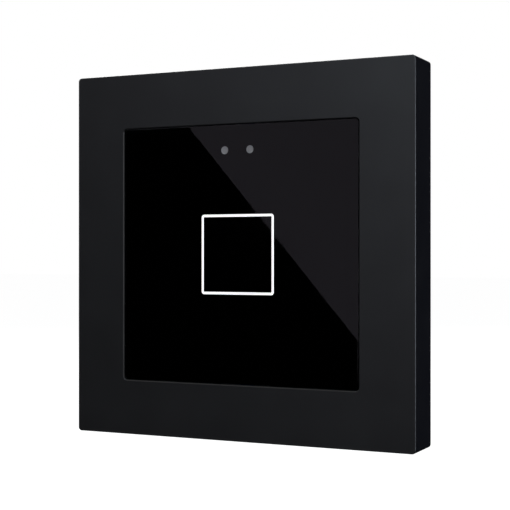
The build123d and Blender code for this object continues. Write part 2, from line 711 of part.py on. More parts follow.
# The rear housing: box, flange, bus well, input tube, button guide, board ribs and magnet cups
input_tube_front = input_rim + input_tube_overlap
guide_front = button_flange_rear - button_guide_gap
with BuildPart() as rear_housing:
    with BuildSketch(Plane.XZ.offset(rear_face)):
        add(rear_box_outline)
    extrude(amount=flange_rear + root - rear_face)
    chamfer(rear_housing.faces().sort_by(Axis.Y)[-1].edges(), length=rear_edge)
    with BuildSketch(Plane.XZ.offset(flange_rear)):
        flange_side = carrier_inside - 2 * flange_gap
        Rectangle(flange_side, flange_side)
    extrude(amount=flange_thickness)
    with BuildSketch(Plane.XZ.offset(rear_floor_front)):
        add(rear_box_hollow)
    extrude(amount=flange_front - rear_floor_front, mode=Mode.SUBTRACT)

    # Bus well, closed towards the board but for the pins
    with BuildSketch(Plane.XZ.offset(rear_floor_front - root)):
        with Locations((0, well_z)):
            Rectangle(well_width + 2 * well_wall, well_height + 2 * well_wall)
    extrude(amount=well_floor_front - rear_floor_front + root)
    with BuildSketch(Plane.XZ.offset(rear_face)):
        with Locations((0, well_z)):
            Rectangle(well_width, well_height)
    extrude(amount=well_depth, mode=Mode.SUBTRACT)
    with BuildSketch(Plane.XZ.offset(well_floor_rear)):
        with Locations(*bus_pin_places):
            Rectangle(bus_pin_hole_side, bus_pin_hole_side)
    extrude(amount=well_floor, mode=Mode.SUBTRACT)

    # Input tube and button guide, both open at each end, and the light rod's hole
    with BuildSketch(Plane.XZ.offset(rear_floor_front - root)):
        with Locations((0, input_z)):
            Rectangle(input_mouth_width + 2 * input_tube_wall, input_mouth_height + 2 * input_tube_wall)
    extrude(amount=input_tube_front - rear_floor_front + root)
    with BuildSketch(Plane.XZ.offset(rear_face)):
        with Locations((0, input_z)):
            Rectangle(input_mouth_width, input_mouth_height)
    extrude(amount=input_tube_front - rear_face, mode=Mode.SUBTRACT)
    with BuildSketch(Plane.XZ.offset(rear_floor_front - root)):
        with Locations((left_column_x, button_z)):
            Circle(button_guide / 2)
    extrude(amount=guide_front - rear_floor_front + root)
    with BuildSketch(Plane.XZ.offset(rear_face)):
        with Locations((left_column_x, button_z)):
            Circle(button_bore / 2)
    extrude(amount=guide_front - rear_face, mode=Mode.SUBTRACT)
    with BuildSketch(Plane.XZ.offset(rear_face)):
        with Locations((left_column_x, lens_z)):
            Circle(lens_diameter / 2 + lens_gap)
    extrude(amount=rear_floor, mode=Mode.SUBTRACT)
    mouth_edges = rear_housing.faces().sort_by(Axis.Y)[-1].inner_wires().edges().filter_by(GeomType.LINE)
    chamfer(mouth_edges, length=well_lead_in)

    # Ribs that the main board rests on
    board_rib_front = main_board_rear - seat_gap
    with BuildSketch(Plane.XZ.offset(rear_floor_front - root)):
        with PolarLocations(board_rib_radius, 4):
            Rectangle(board_rib_reach + root, board_rib_thickness)
    extrude(amount=board_rib_front - rear_floor_front + root)

    # Magnet cups and screw holes in the flange
    with BuildSketch(Plane.XZ.offset(flange_rear)):
        with GridLocations(magnet_spacing, magnet_spacing, 2, 2):
            RegularPolygon(cup_radius, cup_sides, major_radius=False, rotation=half_turn / cup_sides)
            Circle(magnet_diameter / 2 + magnet_pocket_gap, mode=Mode.SUBTRACT)
    extrude(amount=-(magnet_thickness + seat_gap - magnet_proud))
    with BuildSketch(Plane.XZ.offset(flange_rear)):
        with GridLocations(2 * housing_screw_x, 2 * housing_screw_offset, 2, 2):
            Circle(housing_screw_shank / 2 + housing_screw_hole_gap)
    extrude(amount=flange_thickness, mode=Mode.SUBTRACT)

with BuildPart() as holding_magnets:
    with BuildSketch(Plane.XZ.offset(magnet_rear)):
        with GridLocations(magnet_spacing, magnet_spacing, 2, 2):
            Circle(magnet_diameter / 2)
    extrude(amount=magnet_thickness)

# Screws with a flat head and a cross recess
head_rear = flange_rear - housing_screw_head_height
with BuildPart() as housing_screws:
    with BuildSketch(Plane.XZ.offset(head_rear)):
        with GridLocations(2 * housing_screw_x, 2 * housing_screw_offset, 2, 2):
            Circle(housing_screw_head / 2)
    extrude(amount=housing_screw_head_height)
    with BuildSketch(Plane.XZ.offset(head_rear)):
        with GridLocations(2 * housing_screw_x, 2 * housing_screw_offset, 2, 2):
            Rectangle(cross_length, cross_width)
            Rectangle(cross_width, cross_length)
    extrude(amount=cross_depth, mode=Mode.SUBTRACT)
    with BuildSketch(Plane.XZ.offset(flange_rear - root)):
        with GridLocations(2 * housing_screw_x, 2 * housing_screw_offset, 2, 2):
            Circle(housing_screw_shank / 2)
    extrude(amount=housing_screw_length + root)

pieces = {
    "mounting_plate": mounting_plate,
    "surround_frame": surround_frame,
    "touch_glass": touch_glass,
    "printed_mask": printed_mask,
    "bonding_tape": bonding_tape,
    "front_carrier": front_carrier,
    "icon_light_guide": icon_light_guide,
    "sensor_light_pipes": sensor_light_pipes,
    "touch_electrode": touch_electrode,
    "touch_spring": touch_spring,
    "front_board": front_board,
    "icon_leds": icon_leds,
    "sensor_chips": sensor_chips,
    "touch_controller": touch_controller,
    "temperature_sensor": temperature_sensor,
    "board_socket": board_socket,
    "board_header": board_header,
    "header_pins": header_pins,
    "main_board": main_board,
    "logic_chips": logic_chips,
    "storage_choke": storage_choke,
    "buffer_capacitors": buffer_capacitors,
    "bus_header_block": bus_header_block,
    "bus_pins": bus_pins,
    "input_header": input_header,
    "input_header_pins": input_header_pins,
    "programming_switch": programming_switch,
    "switch_plunger": switch_plunger,
    "programming_button": programming_button,
    "programming_led": programming_led,
    "programming_led_lens": programming_led_lens,
    "rear_housing": rear_housing,
    "holding_magnets": holding_magnets,
    "housing_screws": housing_screws,
}
for name, piece in pieces.items():
    piece.part.label = name
    export_step(piece.part, f"parts/{name}.step")
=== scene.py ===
"""Finishes, small turned pieces and a photographer's stage for a touch light switch."""

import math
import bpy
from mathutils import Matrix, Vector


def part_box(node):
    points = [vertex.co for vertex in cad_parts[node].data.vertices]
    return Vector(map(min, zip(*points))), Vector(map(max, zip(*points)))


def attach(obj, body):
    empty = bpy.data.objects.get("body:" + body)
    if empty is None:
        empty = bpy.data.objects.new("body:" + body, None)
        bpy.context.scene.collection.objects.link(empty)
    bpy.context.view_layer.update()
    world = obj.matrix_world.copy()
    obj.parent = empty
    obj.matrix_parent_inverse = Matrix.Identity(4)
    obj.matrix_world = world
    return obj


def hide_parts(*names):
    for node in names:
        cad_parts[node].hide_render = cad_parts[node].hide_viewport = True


bl_info = {
    "name": "Touch Switch Dresser",
    "version": (1, 0, 0),
    "blender": (4, 5, 0),
    "location": "3D View > Sidebar > Switch",
    "description": "Dresses a glass-fronted touch light switch and sets it on a pale stage",
    "category": "Object",
}

import bmesh
import bpy
import numpy as np
from bpy.props import FloatProperty, FloatVectorProperty, PointerProperty

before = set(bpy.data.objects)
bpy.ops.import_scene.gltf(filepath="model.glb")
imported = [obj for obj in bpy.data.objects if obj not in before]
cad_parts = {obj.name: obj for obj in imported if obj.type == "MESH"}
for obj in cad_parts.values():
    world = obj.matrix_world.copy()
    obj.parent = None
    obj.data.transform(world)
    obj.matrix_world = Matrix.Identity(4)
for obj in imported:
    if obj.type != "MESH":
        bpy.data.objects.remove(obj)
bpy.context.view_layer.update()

# Lowest and highest corners of the pieces that others line up with
surround_low, surround_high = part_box("surround_frame")
glass_low, glass_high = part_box("touch_glass")
carrier_low, carrier_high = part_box("front_carrier")
housing_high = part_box("rear_housing")[1]

WHITE = (1.0, 1.0, 1.0, 1.0)
SQUARE = ((-1, -1), (1, -1), (1, 1), (-1, 1))
QUARTERS = 4

# Corners of a mesh that lie closer than this are one
SAME_PLACE = 1e-7
# Angles between two faces: up to the first they count as flat, past the second an edge of a copied
# piece is shaded sharp, and past the third an edge is rounded, or shaded sharp on a piece made here
FLAT_ANGLE = math.radians(0.5)
COPY_ANGLE = math.radians(30)
EDGE_ANGLE = math.radians(35)
# Flat strips that make up a rounded edge
EDGE_STEPS = 2

# Colour of dust, and how much lighter plastic is where it's rubbed
DUST = (0.11, 0.105, 0.1, 1.0)
RUBBED = 1.9

# Where the straight edge of the grey card enters and leaves the glass in the camera's view
EDGE_ON_GLASS = ((-0.0116, 0.0278), (0.0279, -0.0179))


class SwitchSizes(bpy.types.PropertyGroup):
    """Sizes of the pieces that are made here."""

    glass_edge: FloatProperty(
        name="Glass edge",
        description="Radius of the ground edge round the glass",
        default=0.0001,
        unit="LENGTH",
    )
    glass_corner: FloatProperty(
        name="Glass corner",
        description="Radius of the glass's four corners",
        default=0.0007,
        unit="LENGTH",
    )
    moulded_edge: FloatProperty(
        name="Moulded edge",
        description="Rounding of the edges of moulded pieces",
        default=0.00012,
        unit="LENGTH",
    )
    stamped_edge: FloatProperty(
        name="Stamped edge",
        description="Rounding of the plate's edges",
        default=0.0001,
        unit="LENGTH",
    )
    screw_head: FloatProperty(
        name="Screw head",
        description="Diameter of a housing screw's head",
        default=0.0034,
        unit="LENGTH",
    )
    screw_head_height: FloatProperty(
        name="Screw head height",
        description="From the flange to the top of a head",
        default=0.0012,
        unit="LENGTH",
    )
    screw_dome: FloatProperty(
        name="Screw dome",
        description="Rise of a head from its rim to its middle",
        default=0.0004,
        unit="LENGTH",
    )
    screw_shank: FloatProperty(
        name="Screw shank", description="Diameter over the thread", default=0.0017, unit="LENGTH"
    )
    cross_length: FloatProperty(
        name="Cross length",
        description="Length of the recess's arms from end to end",
        default=0.002,
        unit="LENGTH",
    )
    cross_width: FloatProperty(
        name="Cross width", description="Width of the recess's arms", default=0.0004, unit="LENGTH"
    )
    cross_depth: FloatProperty(
        name="Cross depth",
        description="Depth of the recess in its middle",
        default=0.0005,
        unit="LENGTH",
    )
    thread_spacing: FloatProperty(
        name="Thread spacing",
        description="From one turn of the thread to the next",
        default=0.0007,
        unit="LENGTH",
    )
    thread_depth: FloatProperty(
        name="Thread depth",
        description="How far the thread cuts into the shank",
        default=0.00018,
        unit="LENGTH",
    )
    magnet_diameter: FloatProperty(
        name="Magnet diameter",
        description="Diameter of a holding magnet",
        default=0.008,
        unit="LENGTH",
    )
    bus_pin_diameter: FloatProperty(
        name="Bus pin diameter",
        description="Diameter of a bus pin in the well",
        default=0.001,
        unit="LENGTH",
    )
    bus_pin_tail: FloatProperty(
        name="Bus pin tail",
        description="Side of a bus pin's square tail",
        default=0.0007,
        unit="LENGTH",
    )
    bus_pin_length: FloatProperty(
        name="Bus pin length",
        description="Length of a bus pin in the well",
        default=0.008,
        unit="LENGTH",
    )
    pin_side: FloatProperty(
        name="Pin side", description="Side of the square header pins", default=0.0005, unit="LENGTH"
    )
    pin_spacing: FloatProperty(
        name="Pin spacing",
        description="From one header pin to the next",
        default=0.002,
        unit="LENGTH",
    )
    pin_taper: FloatProperty(
        name="Pin taper",
        description="Length of the tapered tip of a header pin",
        default=0.0006,
        unit="LENGTH",
    )
    button_diameter: FloatProperty(
        name="Button diameter",
        description="Diameter of the programming button",
        default=0.003,
        unit="LENGTH",
    )
    button_flange_height: FloatProperty(
        name="Button flange",
        description="Thickness of the button's flange",
        default=0.0008,
        unit="LENGTH",
    )
    lens_diameter: FloatProperty(
        name="Lens diameter",
        description="Diameter of the lamp's light rod",
        default=0.0022,
        unit="LENGTH",
    )
    lens_collar: FloatProperty(
        name="Lens collar",
        description="Thickness of the light rod's collar",
        default=0.0008,
        unit="LENGTH",
    )
    lens_foot: FloatProperty(
        name="Lens foot",
        description="From the housing's rear face to the light rod's collar",
        default=0.00145,
        unit="LENGTH",
    )
    spring_wire: FloatProperty(
        name="Spring wire",
        description="Diameter of the touch spring's wire",
        default=0.0004,
        unit="LENGTH",
    )
    spring_turns: FloatProperty(
        name="Spring turns",
        description="Turns of the touch spring",
        default=2.5,
    )
    can_diameter: FloatProperty(
        name="Can diameter",
        description="Diameter of a buffer capacitor",
        default=0.0063,
        unit="LENGTH",
    )


class SwitchColours(bpy.types.PropertyGroup):
    """Colours that a user would change first."""

    surround: FloatVectorProperty(
        name="Surround",
        description="Matt lacquer of the surround",
        default=(0.0046, 0.0041, 0.0043),
        subtype="COLOR",
    )
    housing: FloatVectorProperty(
        name="Housing",
        description="Moulded rear housing and carrier",
        default=(0.026, 0.026, 0.028),
        subtype="COLOR",
    )
    ring_light: FloatVectorProperty(
        name="Ring light",
        description="Colour of the lit ring",
        default=(1.0, 1.0, 1.0),
        subtype="COLOR",
    )
    ring_strength: FloatProperty(
        name="Ring strength",
        description="Brightness of the lit ring",
        default=1.02,
        min=0.0,
        max=10.0,
    )
    zinc: FloatVectorProperty(
        name="Zinc",
        description="Plated steel of the mounting plate",
        default=(0.64, 0.65, 0.67),
        subtype="COLOR",
    )
    board: FloatVectorProperty(
        name="Board",
        description="Solder mask on the boards",
        default=(0.008, 0.09, 0.04),
        subtype="COLOR",
    )


class SwitchStage(bpy.types.PropertyGroup):
    """Camera, cards and lamps."""

    camera_side: FloatProperty(
        name="Camera side",
        description="How far the camera stands to the right",
        default=0.1171,
        unit="LENGTH",
    )
    camera_distance: FloatProperty(
        name="Camera distance",
        description="From the wall to the camera",
        default=0.2461,
        unit="LENGTH",
    )
    camera_turn: FloatProperty(
        name="Camera turn",
        description="How far the camera looks to the left",
        default=math.radians(25.52),
        subtype="ANGLE",
    )
    lens: FloatProperty(name="Lens", description="Focal length", default=87.12, unit="CAMERA")
    lens_rise: FloatProperty(
        name="Lens rise",
        description="Shift of the picture as a share of its width",
        default=-0.0011,
        subtype="FACTOR",
    )
    lens_side: FloatProperty(
        name="Lens side",
        description="Shift to the right as a share of its width",
        default=0.0009,
        subtype="FACTOR",
    )
    floor_drop: FloatProperty(
        name="Floor drop",
        description="From the switch's middle down to the floor",
        default=0.12,
        unit="LENGTH",
    )
    card_glow: FloatVectorProperty(
        name="Card glow",
        description="Colour and brightness of the grey card",
        default=(0.25, 0.232, 0.275),
        subtype="COLOR",
    )
    card_distance: FloatProperty(
        name="Card distance",
        description="From the glass to the cards in front of it",
        default=1.0,
        unit="LENGTH",
    )


# Surfaces


def rounded_loop(half_width, half_height, corner, steps):
    """Points round rectangles with round corners. In each quarter the angle runs a quarter turn
    about that corner's centre: x = side * (half width - corner) + corner * cos(angle), and z
    likewise with the half height and sin(angle). A corner of half the width makes a circle."""
    quarter = np.repeat(np.arange(QUARTERS), steps + 1)
    angle = (quarter + np.tile(np.linspace(0, 1, steps + 1), QUARTERS)) * math.pi / 2
    middle = (quarter + 0.5) * math.pi / 2
    x = np.sign(np.cos(middle)) * (half_width - corner) + corner * np.cos(angle)
    z = np.sign(np.sin(middle)) * (half_height - corner) + corner * np.sin(angle)
    return x, z


def stack(levels, centre=(0.0, 0.0), steps=8):
    """A surface through a stack of rounded rectangles, S(level, angle). Each level is its half
    width, half height, corner and place along Y."""
    half_width, half_height, corner, y = np.array(levels, float).T[:, :, None]
    x, z = rounded_loop(half_width, half_height, corner, steps)
    return np.stack(np.broadcast_arrays(x + centre[0], y, z + centre[1]), axis=-1)


def lathe(profile, centre, steps=12):
    """A turned surface: every point of a profile of radius and place along Y becomes a circle."""
    radius, y = np.array(profile, float).T
    return stack(np.stack([radius, radius, radius, y], axis=1), centre, steps)


def rounded_profile(points, radii, steps=5):
    """A profile whose inner corners are arcs. An arc of radius r starts and ends r / tan(half the
    angle between its sides) from its corner, and its centre lies on the line that halves it."""
    points, radii = np.array(points, float), np.array(radii, float)[:, None]
    corner = points[1:-1]
    back, ahead = points[:-2] - corner, points[2:] - corner
    back /= np.linalg.norm(back, axis=1, keepdims=True)
    ahead /= np.linalg.norm(ahead, axis=1, keepdims=True)
    half = np.arccos(np.clip((back * ahead).sum(1, keepdims=True), -1, 1)) / 2
    inward = (back + ahead) / np.linalg.norm(back + ahead, axis=1, keepdims=True)
    centre = corner + inward * radii / np.sin(half)
    start = corner + back * radii / np.tan(half) - centre
    end = corner + ahead * radii / np.tan(half) - centre
    sweep = math.pi - 2 * half[:, None]
    share = np.linspace(0, 1, steps + 1)[None, :, None]
    arc = np.sin((1 - share) * sweep) * start[:, None] + np.sin(share * sweep) * end[:, None]
    arc = arc / np.sin(sweep)
    return np.concatenate([points[:1], (arc + centre[:, None]).reshape(-1, 2), points[-1:]])


def rounded_rod(reach, rear, foot, edge):
    """Levels of a round rod from its tip at the rear to its foot: circles whose radius follows the
    arc of the tip's rounding and then stays the same."""
    profile = rounded_profile([(edge / 10, rear), (reach, rear), (reach, foot)], [edge])
    return [(radius, radius, radius, y) for radius, y in profile]


def coil(radius, wire, start, rise, turns, steps_per_turn=48, wire_steps=12):
    """A round wire along a helix. The helix turns by t about Y while it climbs rise * t, and the
    wire's circle stands in the plane of the radius and of the axis."""
    turn = np.linspace(0, turns * 2 * math.pi, round(turns * steps_per_turn))[:, None]
    across = np.linspace(0, 2 * math.pi, wire_steps, endpoint=False)[None, :]
    reach = radius + wire / 2 * np.cos(across)
    y = start + rise * turn / (turns * 2 * math.pi) + wire / 2 * np.sin(across)
    return np.stack(np.broadcast_arrays(reach * np.cos(turn), y, reach * np.sin(turn)), axis=-1)


def skin(grid):
    """Vertices and faces of a grid that closes on itself along its second parameter. Two flat faces
    close its first and last loops."""
    rows, columns = grid.shape[:2]
    index = np.arange(rows * columns).reshape(rows, columns)
    ahead = np.roll(index, -1, axis=1)
    faces = np.stack([index[:-1], ahead[:-1], ahead[1:], index[1:]], axis=-1).reshape(-1, 4).tolist()
    faces += [index[0][::-1].tolist(), index[-1].tolist()]
    return grid.reshape(-1, 3), faces


def merge(mesh, flatten=False):
    """Makes corners in the same place one, which takes away faces without an area, and on a
    carried-over mesh joins the faces that lie flat."""
    shape = bmesh.new()
    shape.from_mesh(mesh)
    bmesh.ops.remove_doubles(shape, verts=shape.verts, dist=SAME_PLACE)
    if flatten:
        bmesh.ops.dissolve_limit(
            shape, angle_limit=FLAT_ANGLE, verts=shape.verts, edges=shape.edges
        )
    shape.to_mesh(mesh)
    shape.free()


def add_piece(name, body, skins, material, node):
    """A mesh of one or more skins, in place of a carried-over piece."""
    vertices, faces, first = [], [], 0
    for points, corners in skins:
        vertices.append(points)
        faces += [[first + corner for corner in face] for face in corners]
        first += len(points)
    mesh = bpy.data.meshes.new(name)
    mesh.from_pydata(np.concatenate(vertices), [], faces)
    merge(mesh)
    mesh.validate()
    mesh.shade_smooth()
    mesh.set_sharp_from_angle(angle=EDGE_ANGLE)
    mesh.materials.append(material)
    piece = bpy.data.objects.new(name, mesh)
    bpy.context.scene.collection.objects.link(piece)
    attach(piece, body)
    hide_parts(node)
    return piece


def finish_node(node, material):
    """Gives a carried-over piece its material."""
    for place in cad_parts[node].material_slots:
        place.material = material


def soften(node, body, material, radius):
    """A copy of a carried-over piece with its sharp edges rounded, in place of it."""
    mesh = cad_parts[node].data.copy()
    merge(mesh, flatten=True)
    if "custom_normal" in mesh.attributes:
        mesh.attributes.remove(mesh.attributes["custom_normal"])
    mesh.shade_smooth()
    mesh.set_sharp_from_angle(angle=COPY_ANGLE)
    mesh.materials.clear()
    mesh.materials.append(material)
    piece = bpy.data.objects.new(node + "_finished", mesh)
    bpy.context.scene.collection.objects.link(piece)
    edges = piece.modifiers.new("edges", "BEVEL")
    edges.width, edges.segments = radius, EDGE_STEPS
    edges.limit_method, edges.angle_limit = "ANGLE", EDGE_ANGLE
    edges.harden_normals = True
    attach(piece, body)
    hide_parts(node)


def centre_of(node):
    """Middle of a carried-over piece across the wall, and its rear and front along Y."""
    low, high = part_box(node)
    return ((low.x + high.x) / 2, (low.z + high.z) / 2), high.y, low.y


def four_places(node, width):
    """Middles of four like pieces of a width, worked out from the box round all of them."""
    low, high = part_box(node)
    xs, zs = (low.x + width / 2, high.x - width / 2), (low.z + width / 2, high.z - width / 2)
    return [(x, z) for x in xs for z in zs]


def screw(place, rear, front, sizes, columns=64):
    """A screw whose head is at the rear. Rows run from the middle of the head out over its dome
    and rim, in to the shank and on to its tip. The radius is that of the row, less the thread's
    depth times a wave of (y / spacing - angle / full turn), and the recess sinks the head's face
    where a point lies in an arm of the cross."""
    head, shank = sizes.screw_head / 2, sizes.screw_shank / 2
    rim, middle, point = 0.15 * head, 0.01 * head, 0.35 * shank
    face_rows, tip_rows, rows_per_turn, wave_power = 30, 8, 10, 0.6
    seat = rear - sizes.screw_head_height
    face = np.linspace(middle, head - rim, face_rows)
    dome = rear - sizes.screw_dome * (face / head) ** 2
    edge = rounded_profile(
        [(face[-1], dome[-1]), (head, dome[-1]), (head, seat), (shank, seat)], [rim * 0.9, rim * 0.3]
    )
    along = np.arange(seat, front + shank, -sizes.thread_spacing / rows_per_turn)
    tip = np.linspace(shank, point, tip_rows)
    down = np.linspace(along[-1], front, tip_rows)
    radius = np.concatenate([face, edge[1:, 0], np.full(len(along) - 1, shank), tip])[:, None]
    y = np.concatenate([dome, edge[1:, 1], along[1:], down])[:, None]
    angle = np.linspace(0, 2 * math.pi, columns, endpoint=False)[None, :]
    threaded = (np.arange(len(radius)) >= len(face) + len(edge) - 1)[:, None]
    wave = 0.5 - 0.5 * np.cos(2 * math.pi * y / sizes.thread_spacing - angle)
    radius = radius - threaded * sizes.thread_depth * wave ** wave_power * radius / shank
    x, z = radius * np.cos(angle), radius * np.sin(angle)
    near, far = np.minimum(abs(x), abs(z)), np.maximum(abs(x), abs(z))
    wall = sizes.cross_width / 4
    arm = np.clip((sizes.cross_width / 2 - near) / wall + 0.5, 0, 1)
    end = np.clip((sizes.cross_length / 2 - far) / (2 * wall) + 0.5, 0, 1)
    on_face = (np.arange(len(radius)) < len(face))[:, None]
    y = y - on_face * sizes.cross_depth * arm * end
    return np.stack([x + place[0], y, z + place[1]], axis=-1)


def grid_places(low, high, spacing, width):
    """Middles of pins in rows and columns, worked out from the box round all of them."""
    xs = np.arange(low.x + width / 2, high.x, spacing)
    zs = np.arange(low.z + width / 2, high.z, spacing)
    return [(x, z) for x in xs for z in zs]


def pin(place, rear, front, side, taper):
    """A square pin whose two ends narrow, the rear one more and over a longer way."""
    half, corner = side / 2, side / 10
    rear_half, front_half = half * 0.45, half * 0.6
    levels = [
        (rear_half, rear_half, corner, rear),
        (half, half, corner, rear - taper),
        (half, half, corner, front + taper / 2),
        (front_half, front_half, corner, front),
    ]
    return stack(levels, place, steps=2)


# Effects that several materials share


class Steps:
    """Adds nodes to a tree one step at a time."""

    def __init__(self, tree):
        self.nodes, self.links = tree.nodes, tree.links

    def add(self, kind, inputs=None, **settings):
        """One node, with its settings and with values or other nodes' outputs on its inputs."""
        node = self.nodes.new(kind)
        for name, value in settings.items():
            setattr(node, name, value)
        for name, value in (inputs or {}).items():
            self.feed(node.inputs[name], value)
        return node

    def feed(self, socket, value):
        """Joins an output to a socket, or sets the socket's own value."""
        if isinstance(value, bpy.types.NodeSocket):
            self.links.new(value, socket)
        else:
            socket.default_value = value

    def maths(self, operation, *values, clamp=False):
        """The output of a Math node."""
        node = self.add("ShaderNodeMath", operation=operation, use_clamp=clamp)
        for socket, value in zip(node.inputs, values):
            self.feed(socket, value)
        return node.outputs[0]

    def blend(self, factor, low, high):
        """The output of a colour mix. A Mix node's colours are its sockets 6 and 7, and output 2."""
        node = self.add("ShaderNodeMix", data_type="RGBA")
        for place, value in ((0, factor), (6, low), (7, high)):
            self.feed(node.inputs[place], value)
        return node.outputs[2]

    def span(self, value, low, high, to_low=0.0, to_high=1.0):
        """A value moved from one span to another and held inside it."""
        node = self.add(
            "ShaderNodeMapRange",
            {"Value": value, "From Min": low, "From Max": high, "To Min": to_low, "To Max": to_high},
        )
        return node.outputs[0]

    def gloss(self, tone, smooth, rough):
        """A roughness that follows a tone, most of which lies between 0.3 and 0.7."""
        return self.span(tone, 0.3, 0.7, smooth, rough)

    def noise(self, vector, scale, detail=2.0, roughness=0.5):
        """A noise value. Scale counts the features in a metre."""
        node = self.add(
            "ShaderNodeTexNoise",
            {"Vector": vector, "Scale": scale, "Detail": detail, "Roughness": roughness},
        )
        return node.outputs["Fac"]


def new_group(name, inputs, outputs):
    """An empty effect with named sockets."""
    group = bpy.data.node_groups.new(name, "ShaderNodeTree")
    for label, kind, value in inputs:
        socket = group.interface.new_socket(label, in_out="INPUT", socket_type=kind)
        if value is not None:
            socket.default_value = value
    for label, kind in outputs:
        group.interface.new_socket(label, in_out="OUTPUT", socket_type=kind)
    steps = Steps(group)
    return group, steps, steps.add("NodeGroupInput").outputs, steps.add("NodeGroupOutput").inputs


def make_grain():
    """Moulded grain: fine noise for the height, and slow noise for the tone."""
    group, steps, given, out = new_group(
        "Moulded grain",
        [("Vector", "NodeSocketVector", None), ("Size", "NodeSocketFloat", 0.0003)],
        [("Height", "NodeSocketFloat"), ("Tone", "NodeSocketFloat")],
    )
    fine = steps.maths("DIVIDE", 1.0, given["Size"])
    slow = steps.maths("MULTIPLY", fine, 0.02)
    steps.feed(out["Height"], steps.noise(given["Vector"], fine, detail=3.0))
    steps.feed(out["Tone"], steps.noise(given["Vector"], slow, detail=4.0, roughness=0.6))
    return group


def make_rim_wear():
    """Worn rim of a square piece: the mask is 1 on the edge between its sides and its front and
    on the edges between its sides, and falls to 0 over the reach, broken up by noise."""
    group, steps, given, out = new_group(
        "Rim wear",
        [
            ("Vector", "NodeSocketVector", None),
            ("Half Side", "NodeSocketFloat", 0.04),
            ("Front", "NodeSocketFloat", 0.01),
            ("Reach", "NodeSocketFloat", 0.0006),
        ],
        [("Mask", "NodeSocketFloat")],
    )
    place = steps.add("ShaderNodeSeparateXYZ", {"Vector": given["Vector"]}).outputs
    from_side = steps.maths("SUBTRACT", given["Half Side"], steps.maths("ABSOLUTE", place["X"]))
    from_top = steps.maths("SUBTRACT", given["Half Side"], steps.maths("ABSOLUTE", place["Z"]))
    from_front = steps.maths("ADD", place["Y"], given["Front"])
    nearest = steps.maths("MINIMUM", from_side, from_top)
    other = steps.maths("MINIMUM", from_front, steps.maths("MAXIMUM", from_side, from_top))
    away = steps.maths("MAXIMUM", nearest, other)
    near = steps.maths("SUBTRACT", 1.0, steps.maths("DIVIDE", away, given["Reach"]), clamp=True)
    noise = steps.noise(given["Vector"], scale=900.0, detail=5.0, roughness=0.65)
    broken = steps.span(noise, low=0.42, high=0.6)
    steps.feed(out["Mask"], steps.maths("MULTIPLY", near, broken))
    return group


def make_scratches():
    """Fine scratches: noise drawn out along each of two slanted directions."""
    group, steps, given, out = new_group(
        "Fine scratches",
        [("Vector", "NodeSocketVector", None), ("Size", "NodeSocketFloat", 0.0002)],
        [("Mask", "NodeSocketFloat")],
    )
    lines = []
    for turn in (0.5, 2.2):
        drawn = steps.add(
            "ShaderNodeMapping",
            {"Vector": given["Vector"], "Rotation": (0.0, turn, 0.0), "Scale": (0.03, 1.0, 1.0)},
        ).outputs[0]
        noise = steps.noise(drawn, steps.maths("DIVIDE", 1.0, given["Size"]))
        lines.append(steps.span(noise, low=0.64, high=0.72))
    steps.feed(out["Mask"], steps.maths("MAXIMUM", *lines))
    return group


def make_dust():
    """Settled dust: noise patches where the surface looks up."""
    group, steps, given, out = new_group(
        "Settled dust",
        [("Vector", "NodeSocketVector", None), ("Normal", "NodeSocketVector", None)],
        [("Mask", "NodeSocketFloat")],
    )
    up = steps.add("ShaderNodeSeparateXYZ", {"Vector": given["Normal"]}).outputs["Z"]
    noise = steps.noise(given["Vector"], scale=350.0, detail=6.0, roughness=0.7)
    patches = steps.span(noise, low=0.45, high=0.75)
    level = steps.span(up, low=0.2, high=1.0)
    steps.feed(out["Mask"], steps.maths("MULTIPLY", patches, level))
    return group


EFFECTS = {
    "Moulded grain": make_grain,
    "Rim wear": make_rim_wear,
    "Fine scratches": make_scratches,
    "Settled dust": make_dust,
}


def effect(steps, name, **values):
    """Places a shared effect, which is built on its first use, and gives its outputs. Underscores
    in the labels of its values stand for spaces."""
    tree = bpy.data.node_groups.get(name) or EFFECTS[name]()
    node = steps.add("ShaderNodeGroup", node_tree=tree)
    for label, value in values.items():
        steps.feed(node.inputs[label.replace("_", " ")], value)
    return node.outputs


# Materials


def new_material(name, **shine):
    """A material with one Principled shader. Shine sets the shader's own sockets, and
    underscores in its labels stand for spaces."""
    material = bpy.data.materials.new(name)
    material.use_nodes = True
    steps = Steps(material.node_tree)
    shader = material.node_tree.nodes["Principled BSDF"]
    for label, value in shine.items():
        shader.inputs[label.replace("_", " ")].default_value = value
    place = steps.add("ShaderNodeTexCoord").outputs
    return material, steps, shader, place


def bumped(steps, shader, height, distance):
    """Feeds a height to the shader's normal."""
    bump = steps.add("ShaderNodeBump", {"Height": height, "Distance": distance, "Strength": 1.0})
    steps.feed(shader.inputs["Normal"], bump.outputs[0])


def shade_of(colour, factor):
    """A colour made lighter or darker, with full alpha."""
    return (*[channel * factor for channel in colour[:3]], 1.0)


def worn_and_dusty(steps, place, tone, colour, rim, dust_share):
    """A tone with dust on ledges and, on a square piece, a rim rubbed lighter. The rim is the
    piece's half side, its front and the rubbing's reach."""
    if rim:
        half, front, reach = rim
        worn = effect(
            steps, "Rim wear", Vector=place["Object"], Half_Side=half, Front=front, Reach=reach
        )["Mask"]
        tone = steps.blend(worn, tone, shade_of(colour, RUBBED))
    dust = effect(steps, "Settled dust", Vector=place["Object"], Normal=place["Normal"])["Mask"]
    return steps.blend(steps.maths("MULTIPLY", dust, dust_share), tone, DUST)


